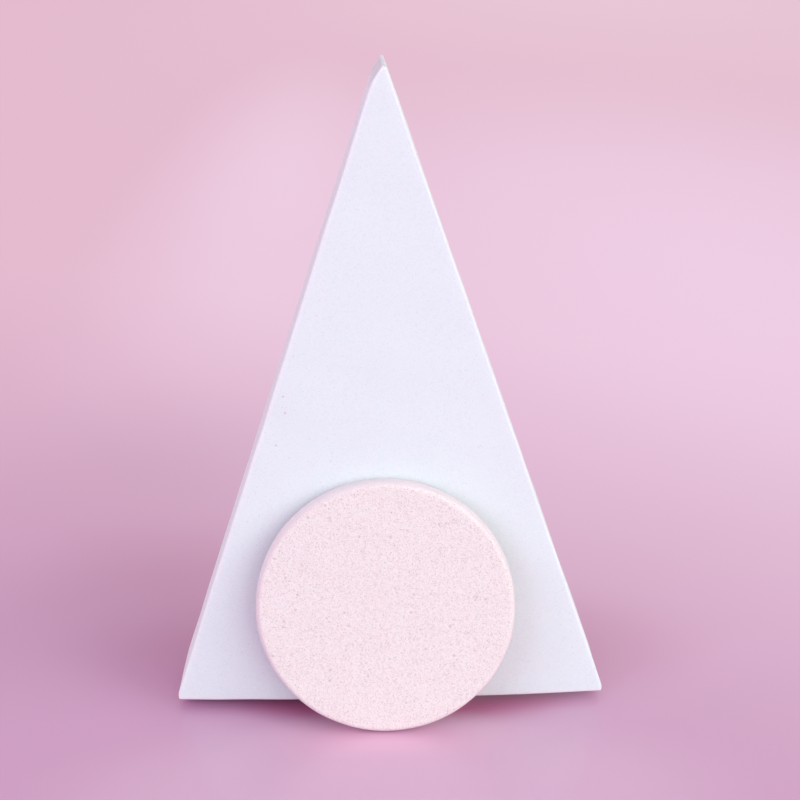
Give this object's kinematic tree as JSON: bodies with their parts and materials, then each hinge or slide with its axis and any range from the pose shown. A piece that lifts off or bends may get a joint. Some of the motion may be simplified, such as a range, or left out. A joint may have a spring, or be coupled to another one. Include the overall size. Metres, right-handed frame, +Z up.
{
  "type": "makeup sponge",
  "caption": "Soft white foam make-up sponge cut as a tall triangle, standing on its short side, with a thin pink round foam sponge leaning on its front.",
  "frame": {"origin": "middle of the flat foot that the triangular sponge stands on", "axes": "+Z up to the peak, +X to the right along the foot, -Y towards the viewer, out of the front that the round sponge leans on"},
  "size_m": [0.0856, 0.0318, 0.127],
  "materials": {
    "white_foam": "matt fine-pored latex foam, cool white",
    "pink_foam": "matt open-pored foam, pale pink"
  },
  "bodies": {
    "triangular_sponge": {"triangular_sponge": "white_foam"},
    "round_sponge": {"round_sponge": "pink_foam"}
  },
  "joints": [
    {"name": "round_sponge_lift", "type": "slide", "parent": "triangular_sponge", "child": "round_sponge", "axis": [-0.0346, -0.9904, 0.134], "range_m": [0, 0.09]}
  ]
}
